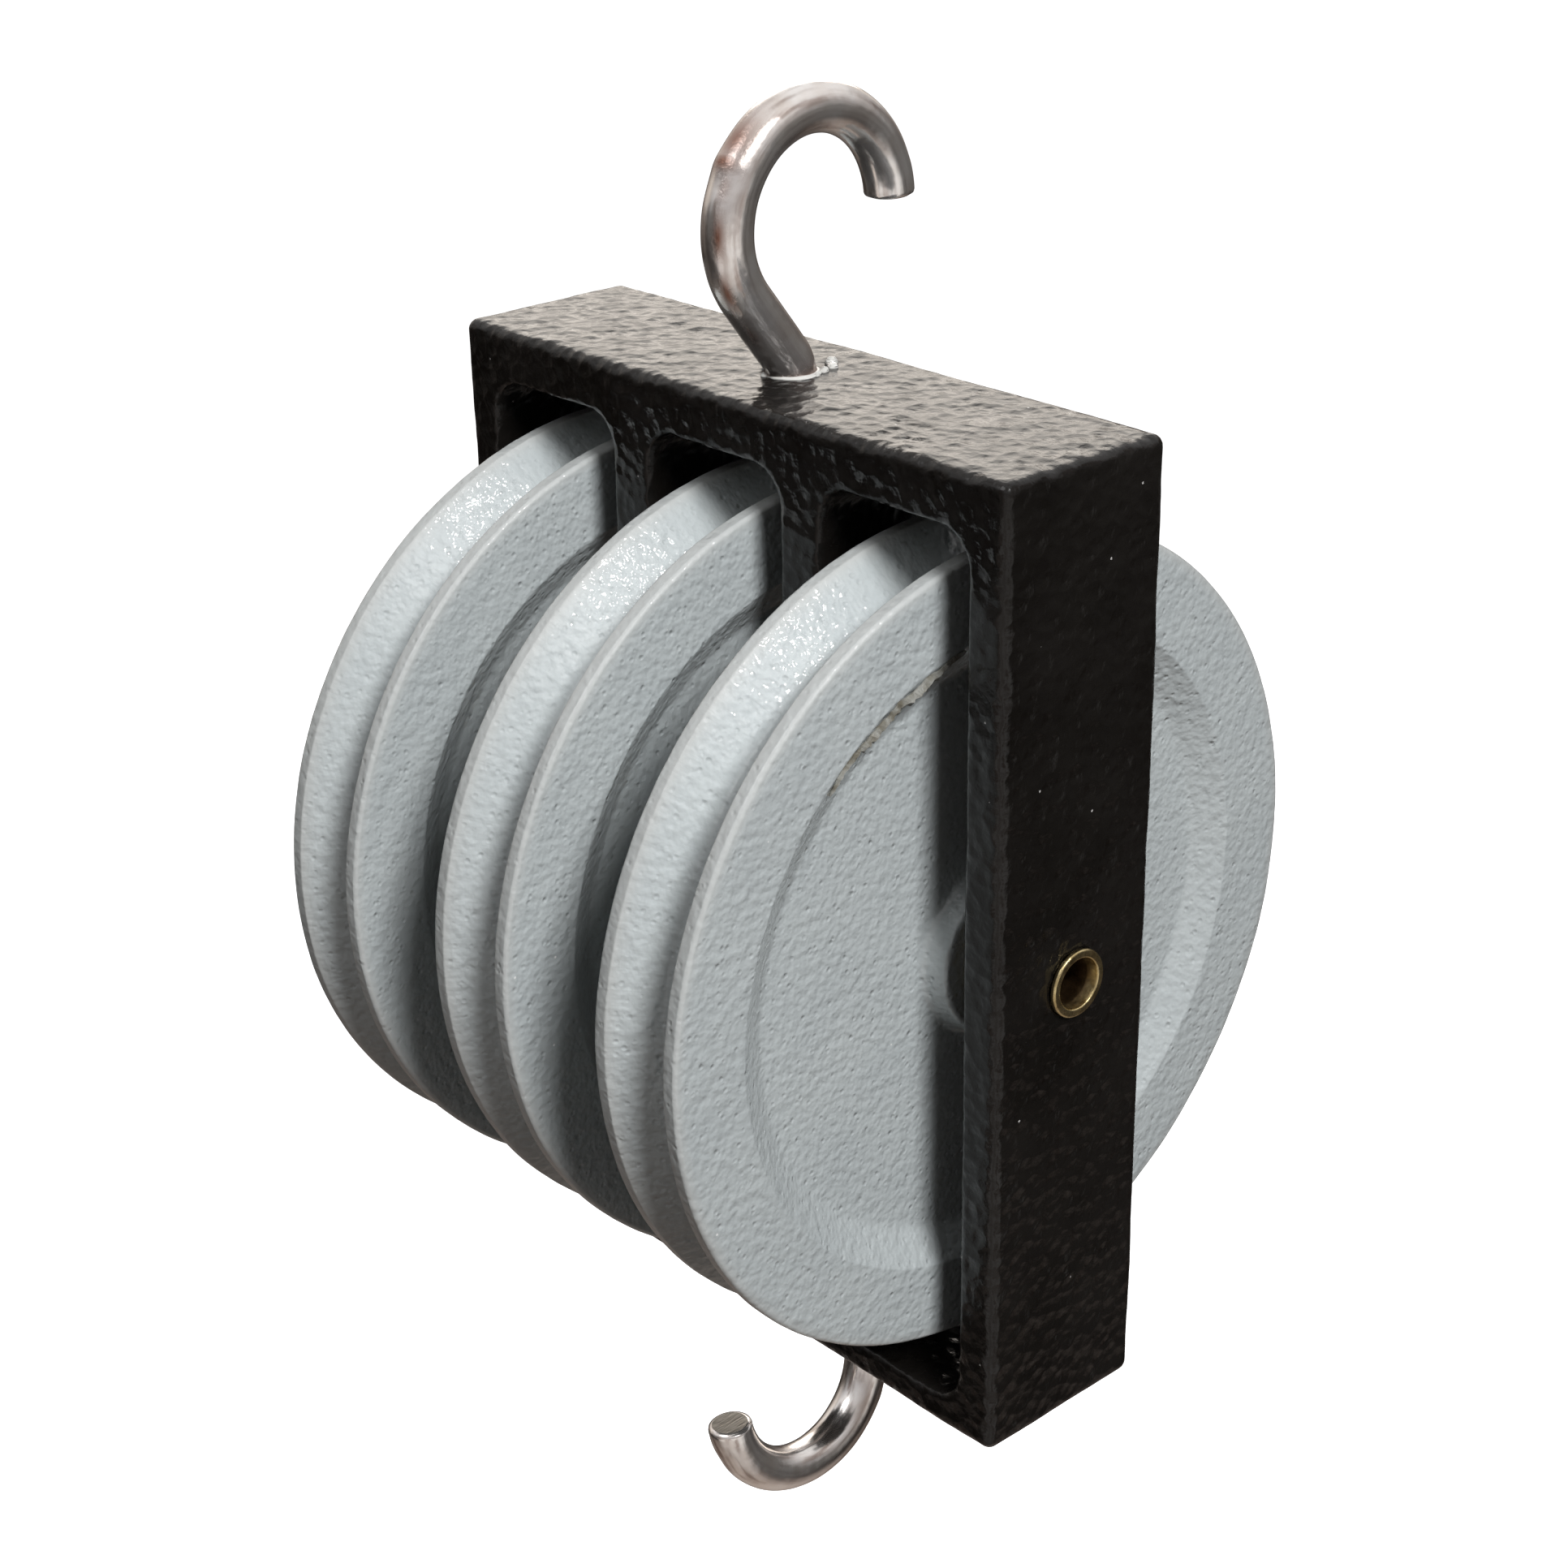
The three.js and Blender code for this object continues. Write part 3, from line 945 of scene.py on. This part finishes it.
def make_adhesive():
    """A thin ring of dried adhesive round the upper hook's foot, and a few loose drops."""
    hook = HOOKS["upper_hook"]
    inner = WIRE_RADIUS - RING_BITE
    ring = [
        (0.0, inner, 0),
        (0.2, WIRE_RADIUS + 0.02, 0.1),
        (0.02, WIRE_RADIUS + 0.28, 0.12),
        (-0.12, WIRE_RADIUS + 0.25, 0),
        (-0.12, inner, 0),
        (0.0, inner, 0),
    ]
    outline = rounded_outline(ring, 0.12)
    made = turned("adhesive_ring", outline, (0, 0, 0), RING_SEGMENTS, closed=True)
    points = vertices_mm(made)
    up = points[:, 0].copy()
    angle = np.arctan2(points[:, 2], points[:, 1])
    kept = 0.55 + 0.45 * np.cos(angle - RING_THICKEST) + 0.25 * lumps(points, 0.7, seed=31)
    out = inner + (np.hypot(points[:, 1], points[:, 2]) - inner) * np.clip(kept, 0.12, 1.2)
    up = np.where(up > 0, up * np.clip(kept, 0.1, 1.2), up)
    placed = np.stack([out * np.cos(angle), out * np.sin(angle), up], 1) + hook.base
    made.data.vertices.foreach_set("co", (placed * MM).ravel())
    made.data.update()
    pieces = [made]
    for i, (x, y, radius) in enumerate(BEADS):
        foot = hook.base + (x, y, 0)
        pieces.append(make_bead(f"adhesive_bead_{i + 1}", foot, radius, FIRST_BEAD_SEED + i))
    for piece in pieces:
        fix_normals(piece)
    return pieces


def make_bead(name, foot, radius, seed):
    """A drop: a turned dome, squashed and made uneven."""
    wide = radius * DOME_WIDTH
    dome = [(-0.08, 0.0, 0), (-0.08, wide, 0), (radius * 0.1, wide, 0.05)]
    arc = [
        (radius * DOME_HEIGHT * math.sin(a), radius * DOME_WIDTH * math.cos(a), 0)
        for a in np.radians([20, 40, 60, 78, 90])
    ]
    outline = rounded_outline(dome + arc, 0.08)
    outline[:, 1] = np.maximum(outline[:, 1], 0.002)
    made = turned(name, outline, (0, 0, 0), BEAD_SEGMENTS, closed=False)
    upright = vertices_mm(made)[:, [2, 1, 0]] * (1, 1.15, 1)
    made.data.vertices.foreach_set("co", ((upright + foot) * MM).ravel())
    made.data.update()
    roughen(made, depth=0.03, size=0.3, seed=seed)
    return made


# ---------------------------------------------------------------- casting flash

# Where the flash runs, in degrees from the front (-Y) up towards the top.
FLASH_SPAN = (46, 80)
FLASH_STEPS = 60
FLASH_SEED = 8
FLASH_THICKNESS = 0.08
# How far inside the recess mouth its outer edge is, and how much that wanders.
FLASH_INSET = 0.15
FLASH_WANDER = 0.12
# Its width at its start, what it gains by its end, its raggedness and its least width.
FLASH_WIDTH = 0.4
FLASH_GAIN = 0.55
FLASH_RAG = 0.12
FLASH_NARROWEST = 0.2
# How far its middle lifts off the rim's face, its waves, and its raggedness.
FLASH_LIFT = 0.12
FLASH_WAVE = 0.1
FLASH_WAVE_RADIANS = 21
FLASH_LIFT_RAG = 0.04
# How far its outer and inner edges lie under the rim's face.
FLASH_OUTER_SEAT = 0.06
FLASH_INNER_SEAT = 0.25


def make_flash():
    """A ragged ribbon of thin metal left along part of the right sheave's recess mouth."""
    centre = SHEAVE_CENTRES["sheave_right"]
    rng = np.random.default_rng(FLASH_SEED)
    angles = np.radians(np.linspace(*FLASH_SPAN, FLASH_STEPS))
    t = np.linspace(0, 1, FLASH_STEPS)
    taper = np.sin(t * math.pi) ** 0.5
    wobble = np.convolve(rng.normal(0, 1, FLASH_STEPS + 4), np.ones(5) / 5, "valid")
    outer = RECESS_MOUTH - FLASH_INSET + FLASH_WANDER * wobble
    width = FLASH_WIDTH + FLASH_GAIN * t + FLASH_RAG * rng.normal(0, 1, FLASH_STEPS)
    width = width.clip(FLASH_NARROWEST) * taper
    lift = FLASH_LIFT + FLASH_WAVE * np.sin(t * FLASH_WAVE_RADIANS)
    lift = (lift + FLASH_LIFT_RAG * rng.normal(0, 1, FLASH_STEPS)) * taper
    face = RIM_WIDTH / 2
    rows = []
    section = (
        (outer, face - FLASH_OUTER_SEAT),
        (outer - width / 2, face + lift),
        (outer - width, face - FLASH_INNER_SEAT),
    )
    for side in (FLASH_THICKNESS / 2, -FLASH_THICKNESS / 2):
        for out, up in section:
            x = np.broadcast_to(up, angles.shape) + side
            rows.append(np.stack([x, -out * np.cos(angles), out * np.sin(angles)], 1))
    loop = [rows[0], rows[1], rows[2], rows[5], rows[4], rows[3]]
    points = np.stack(loop, 1).reshape(-1, 3) + centre
    count = len(loop)
    faces = []
    for i in range(FLASH_STEPS - 1):
        for k in range(count):
            m = (k + 1) % count
            faces.append((i * count + k, i * count + m, (i + 1) * count + m, (i + 1) * count + k))
    faces.append(tuple(range(count)))
    faces.append(tuple(reversed(range((FLASH_STEPS - 1) * count, FLASH_STEPS * count))))
    made = mesh_object("casting_flash", points, faces, smooth=False)
    fix_normals(made)
    return made


# ---------------------------------------------------------------- putting it together


def dress(made, material, body, node=None):
    """Gives a piece its material, its moving body and the CAD node it replaces."""
    if material:
        made.data.materials.clear()
        made.data.materials.append(material)
    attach(made, body)
    if node:
        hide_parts(node)


PLATING = plated_wire()
SAWN = sawn_end()

dress(make_casting(), black_powder_coat(), "block", "frame")
grey = grey_powder_coat()
for node, body in SHEAVES.items():
    dress(make_sheave(node), grey, body, node)
dress(make_flash(), thin_flash(), "right_wheel")
dress(make_axle_tube(), brass(), "block", "axle_tube")
# The hooks come with their two materials on.
for seed, node in enumerate(HOOKS, FIRST_HOOK_SEED):
    dress(make_hook(node, seed), None, "block", node)
adhesive = dried_adhesive()
for piece in make_adhesive():
    dress(piece, adhesive, "block")


# ---------------------------------------------------------------- floor, light and camera

# From here on lengths are metres.
def direction(azimuth, elevation):
    """Unit vector towards an azimuth, 0 at the front (-Y) and growing towards +X, and an elevation."""
    a, e = math.radians(azimuth), math.radians(elevation)
    return Vector((math.sin(a) * math.cos(e), -math.cos(a) * math.cos(e), math.sin(e)))


MIDDLE = Vector(FRAME_CENTRE) * MM

WHITE = (1, 1, 1)
FLOOR_GREY = (0.85, 0.85, 0.85)
FLOOR_DROP = 0.35
FLOOR_REACH = 12.0

CAMERA_AZIMUTH = 48.0
CAMERA_ELEVATION = 24.6
CAMERA_ROLL = math.radians(-1.0)
CAMERA_DISTANCE = 0.1725
CAMERA_AIM = MIDDLE + Vector((-1.23, 0, 3.81)) * MM
LENS_MM = 64.15
SENSOR_MM = 36

# Round lamps, in degrees, metres and watts. One that glossy rays don't see only lights the paint,
# and one that diffuse rays don't see only glints on it.
LAMPS = [
    dict(name="key", azimuth=75, elevation=42, distance=0.6, size=0.2, power=4.1, unseen="glossy"),
    dict(name="panel", azimuth=80, elevation=44, distance=0.6, size=0.3, power=0.5, unseen="diffuse"),
    dict(name="spark", azimuth=92, elevation=45, distance=0.6, size=0.035, power=0.6, unseen="diffuse"),
    dict(name="fill", azimuth=-10, elevation=50, distance=0.9, size=0.5, power=1.3),
    dict(
        name="back", azimuth=-132, elevation=22, distance=0.9, size=0.6, power=1.6, unseen="diffuse",
        colour=(1, 0.93, 0.84),
    ),
    dict(name="behind", azimuth=-145, elevation=12, distance=0.9, size=0.6, power=2.6, unseen="glossy"),
]


def make_floor():
    """A plain pale floor far below the block, which only the camera sees."""
    n = Paint("pale_floor")
    n.set(
        Base_Color=(*FLOOR_GREY, 1), Roughness=0.9, Emission_Color=(*WHITE, 1), Emission_Strength=1.0
    )
    mesh = bpy.data.meshes.new("floor")
    z = MIDDLE.z - FLOOR_DROP
    corners = [(x * FLOOR_REACH, y * FLOOR_REACH, z) for x, y in ((-1, -1), (1, -1), (1, 1), (-1, 1))]
    mesh.from_pydata(corners, [], [(0, 1, 2, 3)])
    floor = bpy.data.objects.new("floor", mesh)
    bpy.context.scene.collection.objects.link(floor)
    mesh.materials.append(n.material)
    floor.visible_diffuse = False
    floor.visible_glossy = False
    floor.visible_transmission = False


def make_light(name, azimuth, elevation, distance, size, power, unseen=None, colour=WHITE):
    """A round lamp aimed at the block's middle. Rays of the unseen kind pass it by."""
    light = bpy.data.lights.new(name, "AREA")
    light.shape = "DISK"
    light.size = size
    light.energy = power
    light.color = colour
    lamp = bpy.data.objects.new(name, light)
    bpy.context.scene.collection.objects.link(lamp)
    towards = direction(azimuth, elevation)
    lamp.location = MIDDLE + towards * distance
    lamp.rotation_euler = towards.to_track_quat("Z", "Y").to_euler()
    lamp.visible_camera = False
    if unseen:
        setattr(lamp, "visible_" + unseen, False)


# The room's colour against the sine of the elevation: all round it, and on its two bright sides.
DIM_SIDE = [
    (-1.0, (0.5, 0.43, 0.38)),
    (-0.8, (0.3, 0.25, 0.22)),
    (-0.55, (0.05, 0.045, 0.042)),
    (0.0, (0.1, 0.096, 0.09)),
    (0.25, (0.4, 0.39, 0.39)),
    (0.55, (0.9, 0.89, 0.89)),
    (1.0, (1.0, 1.0, 1.0)),
]
PALE_SIDE = [
    (-1.0, (0.5, 0.43, 0.38)),
    (-0.7, (0.2, 0.165, 0.145)),
    (-0.35, (0.05, 0.045, 0.04)),
    (-0.1, (0.22, 0.19, 0.17)),
    (0.2, (0.9, 0.83, 0.76)),
    (0.6, (1.0, 0.98, 0.96)),
    (1.0, (1.0, 1.0, 1.0)),
]
NEAR_SIDE = [
    (-1.0, (0.5, 0.43, 0.38)),
    (-0.8, (0.5, 0.46, 0.43)),
    (-0.5, (0.85, 0.82, 0.79)),
    (-0.2, (0.9, 0.88, 0.86)),
    (0.1, (0.35, 0.32, 0.31)),
    (0.5, (0.7, 0.7, 0.71)),
    (1.0, (1.0, 1.0, 1.0)),
]
# A bright side's direction, the facing where it starts and where it is full, and its colours.
BRIGHT_SIDES = [
    ((-0.93, 0.36, 0), 0.4, 0.85, PALE_SIDE),
    ((0.74, -0.67, 0), 0.25, 0.65, NEAR_SIDE),
]
# Dark patches, as things in the room: how many, and the noise's values from dark to clear.
CLUTTER_SCALE = 2.2
CLUTTER = [(0.36, (0.34, 0.27, 0.24)), (0.52, WHITE)]
# How bright the room is to rays that aren't glossy, and the background to the camera.
ROOM_DIFFUSE = 0.18
BACKGROUND = 1.1


def room_colour(n, height, stops):
    """The colour at a height from 0, straight down, to 1, straight up."""
    return n.ramp(height, [((sine + 1) / 2, colour) for sine, colour in stops])


def make_surroundings():
    """White to the eye. To the surfaces it is a cluttered room with two bright sides."""
    world = bpy.data.worlds.new("studio")
    bpy.context.scene.world = world
    world.use_nodes = True
    n = Wiring(world.node_tree)
    n.tree.nodes.clear()
    place = n.place("Generated")
    height = n.spread(n.add("ShaderNodeSeparateXYZ", Vector=place).outputs["Z"], -1, 1)
    room = room_colour(n, height, DIM_SIDE)
    for towards, start, full, stops in BRIGHT_SIDES:
        facing = n.add("ShaderNodeVectorMath", {"operation": "DOT_PRODUCT"})
        n.feed(facing, 0, place)
        n.feed(facing, 1, towards)
        share = n.spread(
            facing.outputs["Value"], start, full, settings={"interpolation_type": "SMOOTHSTEP"}
        )
        room = n.mix(share, room, room_colour(n, height, stops))
    clutter = n.add("ShaderNodeTexNoise", Vector=place, Scale=CLUTTER_SCALE, Detail=2.0)
    room = n.mix(1.0, room, n.ramp(clutter.outputs["Fac"], CLUTTER), "MULTIPLY")
    ray = n.add("ShaderNodeLightPath")
    strength = n.spread(ray.outputs["Is Glossy Ray"], 0, 1, ROOM_DIFFUSE, 1.0)
    pick = n.add("ShaderNodeMixShader")
    n.feed(pick, 0, ray.outputs["Is Camera Ray"])
    n.feed(pick, 1, n.add("ShaderNodeBackground", Color=room, Strength=strength).outputs[0])
    plain = n.add("ShaderNodeBackground", Color=(*WHITE, 1), Strength=BACKGROUND)
    n.feed(pick, 2, plain.outputs[0])
    n.add("ShaderNodeOutputWorld", Surface=pick.outputs[0])


def make_camera():
    """The camera, a little rolled, looking past the block's middle."""
    back = direction(CAMERA_AZIMUTH, CAMERA_ELEVATION)
    a = math.radians(CAMERA_AZIMUTH)
    level = Vector((math.cos(a), math.sin(a), 0))
    upright = back.cross(level)
    right = math.cos(CAMERA_ROLL) * level + math.sin(CAMERA_ROLL) * upright
    up = back.cross(right)
    data = bpy.data.cameras.new("camera")
    data.sensor_width = SENSOR_MM
    data.lens = LENS_MM
    data.clip_start = 0.01
    camera = bpy.data.objects.new("camera", data)
    bpy.context.scene.collection.objects.link(camera)
    turn = Matrix((right, up, back)).transposed().to_4x4()
    camera.matrix_world = Matrix.Translation(CAMERA_AIM + back * CAMERA_DISTANCE) @ turn
    bpy.context.scene.camera = camera


make_floor()
make_surroundings()
for lamp in LAMPS:
    make_light(**lamp)
make_camera()
bpy.context.scene.view_settings.view_transform = "Standard"

bpy.context.view_layer.update()
